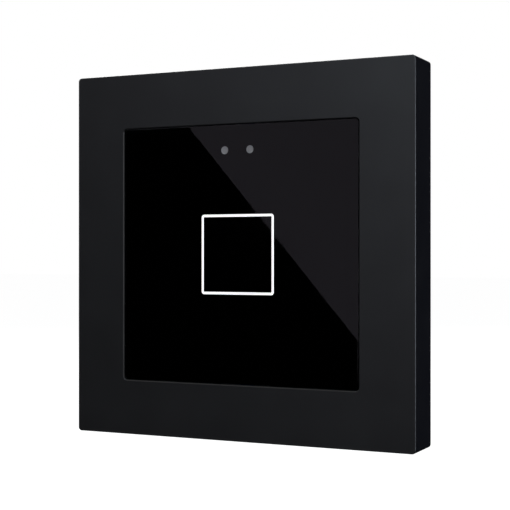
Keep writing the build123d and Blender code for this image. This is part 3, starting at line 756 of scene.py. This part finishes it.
def moulded(name, colour, roughness, grain, depth, rim=None):
    """Moulded plastic: grain in the normal, slow changes of tone and roughness, dust and, where a
    rim is given, wear."""
    material, steps, shader, place = new_material(name)
    texture = effect(steps, "Moulded grain", Vector=place["Object"], Size=grain)
    tone = steps.blend(texture["Tone"], shade_of(colour, 0.86), shade_of(colour, 1.14))
    tone = worn_and_dusty(steps, place, tone, colour, rim, dust_share=0.12)
    steps.feed(shader.inputs["Base Color"], tone)
    gloss = steps.gloss(texture["Tone"], roughness - 0.04, roughness + 0.04)
    steps.feed(shader.inputs["Roughness"], gloss)
    bumped(steps, shader, texture["Height"], depth)
    return material


def painted_gap_shade(steps, vector, half, front, rim):
    """A mask for painted shade: 1 behind the front rim's depth and inside the outer side of a square
    cover.
    """
    place = steps.add("ShaderNodeSeparateXYZ", {"Vector": vector}).outputs
    across, up = steps.maths("ABSOLUTE", place["X"]), steps.maths("ABSOLUTE", place["Z"])
    within = steps.maths("LESS_THAN", steps.maths("MAXIMUM", across, up), half - rim)
    behind = steps.maths("GREATER_THAN", place["Y"], rim - front)
    return steps.maths("MULTIPLY", within, behind)


def surround_lacquer(colour, half, front):
    """Matt lacquer over moulded plastic, rubbed lighter along its rims. The inside and the walls
    beside the glass get painted shade, a base colour at half the lacquer's tone, and are rougher."""
    material, steps, shader, place = new_material("surround_plastic")
    texture = effect(steps, "Moulded grain", Vector=place["Object"], Size=0.0002)
    # Mask of the painted shade inside the cover and on the walls beside the glass
    gap_shade = painted_gap_shade(steps, place["Object"], half, front, rim=0.00016)
    tone = steps.blend(texture["Tone"], shade_of(colour, 0.88), shade_of(colour, 1.12))
    tone = worn_and_dusty(steps, place, tone, colour, (half, front, 0.0005), dust_share=0.04)
    # Painted shade: where the mask is 1, the base colour drops to half the lacquer's tone
    steps.feed(shader.inputs["Base Color"], steps.blend(gap_shade, tone, shade_of(colour, 0.5)))
    gloss = steps.gloss(texture["Tone"], 0.34, 0.38)
    dull = steps.maths("MULTIPLY", gap_shade, 0.75)
    steps.feed(shader.inputs["Roughness"], steps.maths("MAXIMUM", gloss, dull))
    bumped(steps, shader, texture["Height"], distance=0.000003)
    return material


def plated(name, colour, roughness, scratch=0.0002, depth=0.000004):
    """Plated or drawn metal: fine scratches in roughness and normal, with a slow change of tone."""
    material, steps, shader, place = new_material(name, Metallic=1.0)
    lines = effect(steps, "Fine scratches", Vector=place["Object"], Size=scratch)["Mask"]
    texture = effect(steps, "Moulded grain", Vector=place["Object"], Size=scratch)
    tone = steps.blend(texture["Tone"], shade_of(colour, 0.88), shade_of(colour, 1.08))
    steps.feed(shader.inputs["Base Color"], tone)
    gloss = steps.gloss(texture["Tone"], roughness - 0.05, roughness + 0.06)
    rubbed = steps.maths("MULTIPLY", lines, 0.08)
    steps.feed(shader.inputs["Roughness"], steps.maths("ADD", gloss, rubbed))
    bumped(steps, shader, steps.maths("ADD", texture["Height"], lines), depth)
    return material


def plate_steel(colour):
    """Zinc-plated stamped sheet, dulled by its own oxide: flat crystals of slightly different tone
    under a soft mottle, with fine scratches over them."""
    material, steps, shader, place = new_material("plate_steel", Metallic=0.7)
    size, share = 0.0022, 0.6
    cells = steps.add("ShaderNodeTexVoronoi", {"Vector": place["Object"], "Scale": 1 / size}).outputs
    crystal = steps.add("ShaderNodeSeparateColor", {"Color": cells["Color"]}).outputs["Red"]
    mottle = steps.noise(place["Object"], scale=2500.0, detail=4.0)
    crystal = steps.maths("MULTIPLY", crystal, share)
    mixed = steps.maths("ADD", crystal, steps.maths("MULTIPLY", mottle, 1 - share))
    lines = effect(steps, "Fine scratches", Vector=place["Object"], Size=0.0003)["Mask"]
    tone = steps.blend(mixed, shade_of(colour, 0.9), shade_of(colour, 1.06))
    steps.feed(shader.inputs["Base Color"], steps.blend(lines, tone, shade_of(colour, 1.2)))
    steps.feed(shader.inputs["Roughness"], steps.span(mixed, 0.2, 0.8, 0.46, 0.56))
    bumped(steps, shader, mottle, distance=0.000005)
    return material


def cover_glass():
    """Clear glass with faint smears, which only change how sharp its reflections are."""
    material, steps, shader, place = new_material(
        "cover_glass", Base_Color=WHITE, Transmission_Weight=1.0, IOR=1.5
    )
    noise = steps.noise(place["Object"], scale=60.0, detail=5.0, roughness=0.6)
    steps.feed(shader.inputs["Roughness"], steps.span(noise, low=0.45, high=0.8, to_high=0.045))
    return material


def bonded_face():
    """The glass's rear face. It's bonded to the print, so light passes it unchanged."""
    return new_material("bonded_face", Base_Color=WHITE, Alpha=0.0)[0]


def black_print():
    """Ceramic ink behind the glass, with no shine of its own."""
    material, steps, shader, place = new_material(
        "black_print", Specular_IOR_Level=0.0, Roughness=0.7
    )
    tone = effect(steps, "Moulded grain", Vector=place["Object"], Size=0.0001)["Tone"]
    ink = (0.0003, 0.0003, 0.0003)
    steps.feed(shader.inputs["Base Color"], steps.blend(tone, shade_of(ink, 0.7), shade_of(ink, 1.3)))
    return material


def lit_diffuser(colour, strength):
    """Milky plastic, lit from behind by the lamps."""
    material, steps, shader, place = new_material(
        "lit_diffuser", Base_Color=(0.8, 0.8, 0.8, 1.0), Roughness=0.4, Emission_Strength=strength
    )
    tone = effect(steps, "Moulded grain", Vector=place["Object"], Size=0.0004)["Tone"]
    glow = steps.blend(tone, shade_of(colour, 0.96), shade_of(colour, 1.0))
    steps.feed(shader.inputs["Emission Color"], glow)
    return material


def polished_rod(name, colour):
    """Tinted light rod, polished at its ends."""
    material, steps, shader, place = new_material(name)
    tone = effect(steps, "Moulded grain", Vector=place["Object"], Size=0.0005)["Tone"]
    tint = steps.blend(tone, shade_of(colour, 0.9), shade_of(colour, 1.1))
    steps.feed(shader.inputs["Base Color"], tint)
    steps.feed(shader.inputs["Roughness"], steps.gloss(tone, 0.12, 0.2))
    return material


def copper_traces(steps, vector, size):
    """A mask of thin lines round the cells of a square grid."""
    flat = steps.add("ShaderNodeMapping", {"Vector": vector, "Scale": (1.0, 0.0, 1.0)}).outputs[0]
    cells = steps.add(
        "ShaderNodeTexVoronoi",
        {"Vector": flat, "Scale": 1 / size, "Randomness": 0.6},
        feature="F1",
        distance="CHEBYCHEV",
    ).outputs["Distance"]
    step = steps.maths("FRACT", steps.maths("MULTIPLY", cells, 3.0))
    return steps.span(steps.maths("ABSOLUTE", steps.maths("SUBTRACT", step, 0.5)), 0.2, 0.28)


def board_laminate(colour):
    """Solder mask over copper traces, with bare laminate on the sawn edges."""
    material, steps, shader, place = new_material(
        "board_laminate", Coat_Weight=0.3, Coat_Roughness=0.2
    )
    lines = copper_traces(steps, place["Object"], size=0.0022)
    texture = effect(steps, "Moulded grain", Vector=place["Object"], Size=0.0002)
    laminate = (0.35, 0.29, 0.14, 1.0)
    masked = steps.blend(lines, shade_of(colour, 0.75), shade_of(colour, 1.9))
    facing = steps.add("ShaderNodeSeparateXYZ", {"Vector": place["Normal"]}).outputs["Y"]
    face = steps.span(steps.maths("ABSOLUTE", facing), 0.4, 0.6)
    steps.feed(shader.inputs["Base Color"], steps.blend(face, laminate, masked))
    steps.feed(shader.inputs["Roughness"], steps.gloss(texture["Tone"], 0.32, 0.42))
    bumped(steps, shader, lines, distance=0.00002)
    return material


# Operators, one for each piece or group of like pieces


class SWITCH_OT_surround(bpy.types.Operator):
    """Finishes the surround in matt lacquer"""

    bl_idname = "switch.surround"
    bl_label = "Surround"

    def execute(self, context):
        colour = context.scene.switch_colours.surround
        lacquer = surround_lacquer(colour, surround_high.x, -surround_low.y)
        finish_node("surround_frame", lacquer)
        return {"FINISHED"}


class SWITCH_OT_front(bpy.types.Operator):
    """Makes the cover glass and finishes print, light guide, rods and tape behind it"""

    bl_idname = "switch.front"
    bl_label = "Glass Front"

    def execute(self, context):
        sizes, colours = context.scene.switch_sizes, context.scene.switch_colours
        half, edge, corner = glass_high.x, sizes.glass_edge, sizes.glass_corner
        rear, front = glass_high.y, glass_low.y
        corners = [(half - edge, rear), (half, rear), (half, front), (half - 2 * edge, front)]
        profile = rounded_profile(corners, [edge / 4, edge])
        levels = [(reach, reach, corner - (half - reach), y) for reach, y in profile]
        skins = [skin(stack(levels, steps=10))]
        clear = cover_glass()
        glass = add_piece("cover_glass", "touch_module", skins, clear, "touch_glass")
        glass.data.materials.append(bonded_face())
        # Only the face that looks straight back is bonded
        rearward = 0.9
        for face in glass.data.polygons:
            face.material_index = int(face.normal.y > rearward)
        foam = moulded("adhesive_foam", (0.012, 0.012, 0.012), 0.8, grain=0.0002, depth=0.00003)
        for node, material in (
            ("printed_mask", black_print()),
            ("icon_light_guide", lit_diffuser(colours.ring_light, colours.ring_strength)),
            ("sensor_light_pipes", polished_rod("smoked_rod", (0.56, 0.53, 0.52))),
            ("bonding_tape", foam),
            ("touch_electrode", plated("foil", (0.78, 0.45, 0.25), 0.3)),
        ):
            finish_node(node, material)
        return {"FINISHED"}


class SWITCH_OT_plate(bpy.types.Operator):
    """Finishes the mounting plate in zinc"""

    bl_idname = "switch.plate"
    bl_label = "Mounting Plate"

    def execute(self, context):
        sizes, colours = context.scene.switch_sizes, context.scene.switch_colours
        steel = plate_steel(colours.zinc)
        soften("mounting_plate", "wall_plate", steel, sizes.stamped_edge)
        return {"FINISHED"}


class SWITCH_OT_housing(bpy.types.Operator):
    """Finishes the rear housing, the carrier and the input header"""

    bl_idname = "switch.housing"
    bl_label = "Housing"

    def execute(self, context):
        sizes, colours = context.scene.switch_sizes, context.scene.switch_colours
        plastic = moulded(
            "housing_plastic",
            colours.housing,
            0.55,
            grain=0.00035,
            depth=0.000012,
            rim=(carrier_high.x, -carrier_low.y, 0.0004),
        )
        header = moulded("header_plastic", (0.72, 0.7, 0.62), 0.45, grain=0.0003, depth=0.000006)
        for node, slot, material in (
            ("rear_housing", "housing_plastic", plastic),
            ("front_carrier", "housing_plastic", plastic),
            ("input_header", "header_plastic", header),
        ):
            soften(node, "touch_module", material, sizes.moulded_edge)
        return {"FINISHED"}


class SWITCH_OT_screws(bpy.types.Operator):
    """Makes the four housing screws with their cross recess and thread"""

    bl_idname = "switch.screws"
    bl_label = "Housing Screws"

    def execute(self, context):
        sizes = context.scene.switch_sizes
        _, rear, front = centre_of("housing_screws")
        places = four_places("housing_screws", sizes.screw_head)
        skins = [skin(screw(place, rear, front, sizes)) for place in places]
        steel = plated("screw_steel", (0.075, 0.075, 0.08), 0.32)
        add_piece("screws_with_thread", "touch_module", skins, steel, "housing_screws")
        return {"FINISHED"}


class SWITCH_OT_magnets(bpy.types.Operator):
    """Makes the four holding magnets as rounded discs"""

    bl_idname = "switch.magnets"
    bl_label = "Holding Magnets"

    def execute(self, context):
        sizes = context.scene.switch_sizes
        _, rear, front = centre_of("holding_magnets")
        reach, edge = sizes.magnet_diameter / 2, sizes.magnet_diameter / 30
        corners = [(edge / 4, rear), (reach, rear), (reach, front), (edge / 4, front)]
        profile = rounded_profile(corners, [edge, edge])
        places = four_places("holding_magnets", sizes.magnet_diameter)
        skins = [skin(lathe(profile, place)) for place in places]
        silver = (0.66, 0.62, 0.56)
        nickel = plated("magnet_nickel", silver, 0.16, scratch=0.00015, depth=0.000002)
        add_piece("rounded_magnets", "touch_module", skins, nickel, "holding_magnets")
        return {"FINISHED"}


class SWITCH_OT_pins(bpy.types.Operator):
    """Makes the bus pins and both rows of header pins with their tapered tips"""

    bl_idname = "switch.pins"
    bl_label = "Pins"

    def execute(self, context):
        sizes = context.scene.switch_sizes
        self.add_bus_pins(sizes)
        side, taper = sizes.pin_side, sizes.pin_taper
        gilt = plated("gilt_pin", (0.83, 0.62, 0.28), 0.22)
        for name, node in (
            ("tapered_header_pins", "header_pins"),
            ("tapered_input_pins", "input_header_pins"),
        ):
            low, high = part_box(node)
            places = grid_places(low, high, sizes.pin_spacing, side)
            skins = [skin(pin(place, high.y, low.y, side, taper)) for place in places]
            add_piece(name, "touch_module", skins, gilt, node)
        return {"FINISHED"}

    def add_bus_pins(self, sizes):
        """Round pins with a rounded tip in the well and a square tail through the board."""
        low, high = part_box("bus_pins")
        (_, z), rear, front = centre_of("bus_pins")
        reach, tail = sizes.bus_pin_diameter / 2, sizes.bus_pin_tail / 2
        well_floor = rear - sizes.bus_pin_length
        levels = rounded_rod(reach, rear, well_floor, reach / 2)
        levels += [(tail, tail, tail / 5, well_floor), (tail, tail, tail / 5, front)]
        skins = [skin(stack(levels, (x, z))) for x in (low.x + reach, high.x - reach)]
        tin = plated("tinned_pin", (0.6, 0.6, 0.58), 0.24)
        add_piece("round_bus_pins", "touch_module", skins, tin, "bus_pins")


class SWITCH_OT_button(bpy.types.Operator):
    """Makes the programming button and the lamp's light rod beside it"""

    bl_idname = "switch.button"
    bl_label = "Button and Lens"

    def execute(self, context):
        sizes = context.scene.switch_sizes
        place, rear, front = centre_of("programming_button")
        low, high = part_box("programming_button")
        reach, flange = sizes.button_diameter / 2, (high.x - low.x) / 2
        edge, fine = reach / 4, reach / 12
        shoulder = front + sizes.button_flange_height
        corners = [
            (fine / 4, rear),
            (reach, rear),
            (reach, shoulder),
            (flange, shoulder),
            (flange, front),
            (fine / 4, front),
        ]
        skins = [skin(lathe(rounded_profile(corners, [edge, fine, fine, fine]), place))]
        plastic = moulded("button_plastic", (0.3, 0.3, 0.31), 0.4, grain=0.0002, depth=0.000004)
        add_piece("turned_button", "button", skins, plastic, "programming_button")
        self.add_lens(sizes)
        return {"FINISHED"}

    def add_lens(self, sizes):
        """A round rod with a rounded tip and a square collar."""
        place, rear, front = centre_of("programming_led_lens")
        low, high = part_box("programming_led_lens")
        reach, collar = sizes.lens_diameter / 2, (high.x - low.x) / 2
        collar_rear = housing_high.y - sizes.lens_foot
        collar_front = collar_rear - sizes.lens_collar
        levels = rounded_rod(reach, rear, collar_rear, reach / 3)
        levels += [
            (collar, collar, collar / 6, collar_rear),
            (collar, collar, collar / 6, collar_front),
            (reach, reach, reach, collar_front),
            (reach, reach, reach, front),
        ]
        rod = polished_rod("clear_rod", (0.5, 0.06, 0.045))
        skins = [skin(stack(levels, place))]
        add_piece("domed_lens", "touch_module", skins, rod, "programming_led_lens")


class SWITCH_OT_electronics(bpy.types.Operator):
    """Makes spring and cans, and finishes boards, chips, lamps, sockets and switch"""

    bl_idname = "switch.electronics"
    bl_label = "Electronics"

    def execute(self, context):
        sizes, colours = context.scene.switch_sizes, context.scene.switch_colours
        self.add_spring(sizes)
        self.add_cans(sizes)
        laminate = board_laminate(colours.board)
        black = (0.016, 0.016, 0.016)
        resin = moulded("chip_resin", (0.018, 0.018, 0.02), 0.45, grain=0.00008, depth=0.000004)
        connector = moulded("connector_plastic", black, 0.4, grain=0.0002, depth=0.000004)
        lamp = moulded("lamp_body", (0.78, 0.77, 0.7), 0.35, grain=0.0001, depth=0.000002)
        core = moulded("ferrite", (0.035, 0.034, 0.034), 0.6, grain=0.00015, depth=0.000012)
        for material, nodes in (
            (laminate, ("front_board", "main_board")),
            (resin, ("sensor_chips", "touch_controller", "temperature_sensor", "logic_chips")),
            (connector, ("board_socket", "board_header", "bus_header_block", "switch_plunger")),
            (lamp, ("icon_leds", "programming_led")),
            (core, ("storage_choke",)),
            (plated("switch_metal", (0.55, 0.55, 0.56), 0.3), ("programming_switch",)),
        ):
            for node in nodes:
                finish_node(node, material)
        return {"FINISHED"}

    def add_spring(self, sizes):
        """A coil between the foil and the front board."""
        low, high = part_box("touch_spring")
        wire = sizes.spring_wire
        start, rise = high.y - wire / 2, low.y - high.y + wire
        grid = coil((high.x - low.x - wire) / 2, wire, start, rise, sizes.spring_turns)
        steel = plated("spring_wire", (0.62, 0.6, 0.56), 0.25)
        add_piece("wound_spring", "touch_module", [skin(grid)], steel, "touch_spring")

    def add_cans(self, sizes):
        """Turned cans with a groove near the foot."""
        low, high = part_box("buffer_capacitors")
        reach, edge = sizes.can_diameter / 2, sizes.can_diameter / 16
        groove, foot = reach * 0.88, low.y + reach * 0.5
        corners = [
            (edge / 4, high.y),
            (reach, high.y),
            (reach, foot + edge),
            (groove, foot),
            (reach, foot - edge),
            (reach, low.y),
            (edge / 4, low.y),
        ]
        profile = rounded_profile(corners, [edge, edge / 2, edge / 2, edge / 2, edge / 2])
        x = (low.x + high.x) / 2
        skins = [skin(lathe(profile, (x, z))) for z in (low.z + reach, high.z - reach)]
        can = plated("can_metal", (0.68, 0.68, 0.7), 0.22)
        add_piece("grooved_cans", "touch_module", skins, can, "buffer_capacitors")


class SWITCH_OT_stage(bpy.types.Operator):
    """Sets floor, cards, lamps and camera"""

    bl_idname = "switch.stage"
    bl_label = "Stage"

    def execute(self, context):
        stage = context.scene.switch_stage
        make_world()
        make_floor(stage)
        make_grey_card(stage)
        make_dark_cards(stage)
        make_lamps()
        make_camera(stage)
        return {"FINISHED"}


# Stage


def flat_stage_piece(name, corners, material):
    """One flat face that isn't part of the switch."""
    mesh = bpy.data.meshes.new(name)
    mesh.from_pydata([tuple(corner) for corner in corners], [], [(0, 1, 2, 3)])
    mesh.materials.append(material)
    thing = bpy.data.objects.new(name, mesh)
    bpy.context.scene.collection.objects.link(thing)
    return thing


def glowing(name, glow):
    """The material of a card of one even brightness."""
    material = bpy.data.materials.new(name)
    material.use_nodes = True
    steps = Steps(material.node_tree)
    material.node_tree.nodes.clear()
    light = steps.add("ShaderNodeEmission", {"Color": (*glow, 1.0), "Strength": 1.0})
    steps.add("ShaderNodeOutputMaterial", {"Surface": light.outputs[0]})
    return material


def seen_directly(steps):
    """1 for rays that show a background: from the camera, off gloss and through glass."""
    path = steps.add("ShaderNodeLightPath").outputs
    shown = steps.maths("MAXIMUM", path["Is Camera Ray"], path["Is Glossy Ray"])
    return steps.maths("MAXIMUM", shown, path["Is Transmission Ray"])


def make_world():
    """White where it's seen, and a soft even light on everything else."""
    world = bpy.data.worlds.new("white_room")
    bpy.context.scene.world = world
    world.use_nodes = True
    steps = Steps(world.node_tree)
    soft = (0.4, 0.4, 0.41, 1.0)
    background = world.node_tree.nodes["Background"].inputs
    background["Strength"].default_value = 1.0
    steps.feed(background["Color"], steps.blend(seen_directly(steps), soft, WHITE))


def make_floor(stage):
    """Pale floor. Where it's seen it's mostly a white glow, and the rest keeps a soft shadow."""
    pale, brightness, glow_share, reach = (0.85, 0.85, 0.85, 1.0), 1.15, 0.8, 6.0
    material = bpy.data.materials.new("pale_floor")
    material.use_nodes = True
    steps = Steps(material.node_tree)
    material.node_tree.nodes.clear()
    matt = steps.add("ShaderNodeBsdfDiffuse", {"Color": pale})
    light = steps.add("ShaderNodeEmission", {"Color": WHITE, "Strength": brightness})
    share = steps.maths("MULTIPLY", seen_directly(steps), glow_share)
    both = steps.add("ShaderNodeMixShader", {0: share, 1: matt.outputs[0], 2: light.outputs[0]})
    steps.add("ShaderNodeOutputMaterial", {"Surface": both.outputs[0]})
    corners = [(reach * x, reach * y, -stage.floor_drop) for x, y in SQUARE]
    flat_stage_piece("stage_floor", corners, material).visible_glossy = False


def only_in_gloss(thing):
    """A card that shows in reflections and through glass only."""
    thing.visible_camera = False
    thing.visible_diffuse = False
    thing.visible_shadow = False


def mirrored(stage, x, z, away):
    """Where the camera's line of sight, turned back by the glass at x and z, meets the plane that
    stands a distance in front of the glass."""
    front = glass_low.y
    eye = np.array([stage.camera_side, -stage.camera_distance, 0.0])
    ray = np.array([x, front, z]) - eye
    return np.array([x, front, z]) + ray * (1, -1, 1) * away / ray[1]


def make_grey_card(stage):
    """The card that the glass mirrors in its upper right. Its straight edge runs through the two
    places that the camera sees mirrored where the edge crosses the glass, and a corner is the
    edge's middle + along * reach * its first number + across * reach * its second."""
    ends = [mirrored(stage, x, z, stage.card_distance) for x, z in EDGE_ON_GLASS]
    middle, reach = (ends[0] + ends[1]) / 2, 1.6
    along = (ends[1] - ends[0]) / np.linalg.norm(ends[1] - ends[0])
    across = np.array([-along[2], 0.0, along[0]])
    beyond_edge = ((-1, 0), (1, 0), (1, 1), (-1, 1))
    corners = [middle + along * x * reach + across * z * reach for x, z in beyond_edge]
    only_in_gloss(flat_stage_piece("grey_card", corners, glowing("card_grey", stage.card_glow)))


def make_dark_cards(stage):
    """A black card behind the grey one, a dark blue one that the right side reflects, set out to
    the camera's right and up, and a black one that lies below the switch."""
    black = glowing("card_black", (0.0, 0.0, 0.0))
    blue = glowing("card_blue", (0.0, 0.001, 0.01))
    gap, reach = 0.02, 4.0
    behind = mirrored(stage, 0.0, 0.0, stage.card_distance + gap)
    corners = [behind + np.array([x * reach, 0.0, z * reach]) for x, z in SQUARE]
    only_in_gloss(flat_stage_piece("front_card", corners, black))
    left, right, low, high = -1.7, 3.0, -0.45, 1.2
    toward = np.array([math.sin(stage.camera_turn), math.cos(stage.camera_turn), 0.0])
    beside, up = np.array([toward[1], -toward[0], 0.0]), np.array([0.0, 0.0, 1.0])
    spots = ((left, low), (right, low), (right, high), (left, high))
    corners = [toward + beside * x + up * z for x, z in spots]
    only_in_gloss(flat_stage_piece("side_card", corners, blue))
    reach, ahead, back, above_floor = 2.0, -0.85, 0.25, 0.002
    z = above_floor - stage.floor_drop
    corners = [(-reach, ahead, z), (reach, ahead, z), (reach, back, z), (-reach, back, z)]
    only_in_gloss(flat_stage_piece("lower_card", corners, black))


def make_lamps():
    """Square lamps that face the switch: a key from the front and above, one behind for the rear,
    and two whose light shows in gloss alone, for the window's edge and for the right side's. A
    lamp shines along its own -Z, so its Z points away from the switch."""
    for name, place, size, power, colour, lights_matt in (
        ("key_lamp", (0.17, -1.08, 0.74), 0.7, 15.2, (0.79, 0.92, 1.0), True),
        ("window_lamp", (0.9, -0.43, 0.0), 0.5, 1.6, (0.95, 0.97, 1.0), False),
        ("edge_lamp", (1.0, 0.07, 0.0), 0.3, 5.6, (0.76, 0.86, 1.0), False),
        ("rear_lamp", (-0.6, 1.0, 0.8), 0.7, 14.0, (1.0, 1.0, 1.0), True),
    ):
        light = bpy.data.lights.new(name, "AREA")
        light.size, light.energy, light.color = size, power, colour
        lamp = bpy.data.objects.new(name, light)
        bpy.context.scene.collection.objects.link(lamp)
        lamp.location = place
        lamp.rotation_euler = lamp.location.to_track_quat("Z", "Y").to_euler()
        lamp.visible_camera = False
        lamp.visible_diffuse = lights_matt


def make_camera(stage):
    """The photograph's camera: level, to the right of the switch and turned to it."""
    camera = bpy.data.cameras.new("camera")
    camera.lens, camera.shift_x, camera.shift_y = stage.lens, stage.lens_side, stage.lens_rise
    camera.clip_start = 0.01
    holder = bpy.data.objects.new("camera", camera)
    bpy.context.scene.collection.objects.link(holder)
    holder.location = (stage.camera_side, -stage.camera_distance, 0.0)
    holder.rotation_euler = (math.pi / 2, 0.0, stage.camera_turn)
    bpy.context.scene.camera = holder


class SWITCH_PT_panel(bpy.types.Panel):
    """Lists the switch's pieces and its main sizes and colours"""

    bl_idname = "SWITCH_PT_panel"
    bl_label = "Touch Switch"
    bl_space_type = "VIEW_3D"
    bl_region_type = "UI"
    bl_category = "Switch"

    def draw(self, context):
        for operator in OPERATORS:
            self.layout.operator(operator.bl_idname)
        scene = context.scene
        for group in (scene.switch_sizes, scene.switch_colours, scene.switch_stage):
            box = self.layout.box()
            for name in type(group).__annotations__:
                box.prop(group, name)


OPERATORS = (
    SWITCH_OT_surround,
    SWITCH_OT_front,
    SWITCH_OT_plate,
    SWITCH_OT_housing,
    SWITCH_OT_screws,
    SWITCH_OT_magnets,
    SWITCH_OT_pins,
    SWITCH_OT_button,
    SWITCH_OT_electronics,
    SWITCH_OT_stage,
)
CLASSES = (SwitchSizes, SwitchColours, SwitchStage, *OPERATORS, SWITCH_PT_panel)


def register():
    """Adds the classes, and the three groups of properties to the scene."""
    for kind in CLASSES:
        bpy.utils.register_class(kind)
    bpy.types.Scene.switch_sizes = PointerProperty(type=SwitchSizes)
    bpy.types.Scene.switch_colours = PointerProperty(type=SwitchColours)
    bpy.types.Scene.switch_stage = PointerProperty(type=SwitchStage)


def unregister():
    """Takes away what register adds."""
    for name in ("switch_sizes", "switch_colours", "switch_stage"):
        delattr(bpy.types.Scene, name)
    for kind in reversed(CLASSES):
        bpy.utils.unregister_class(kind)


def main():
    """Registers the add-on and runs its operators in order."""
    register()
    bpy.context.scene.view_settings.view_transform = "Standard"
    bpy.ops.switch.surround()
    bpy.ops.switch.front()
    bpy.ops.switch.plate()
    bpy.ops.switch.housing()
    bpy.ops.switch.screws()
    bpy.ops.switch.magnets()
    bpy.ops.switch.pins()
    bpy.ops.switch.button()
    bpy.ops.switch.electronics()
    bpy.ops.switch.stage()
    bpy.context.view_layer.update()


if __name__ == "__main__":
    main()
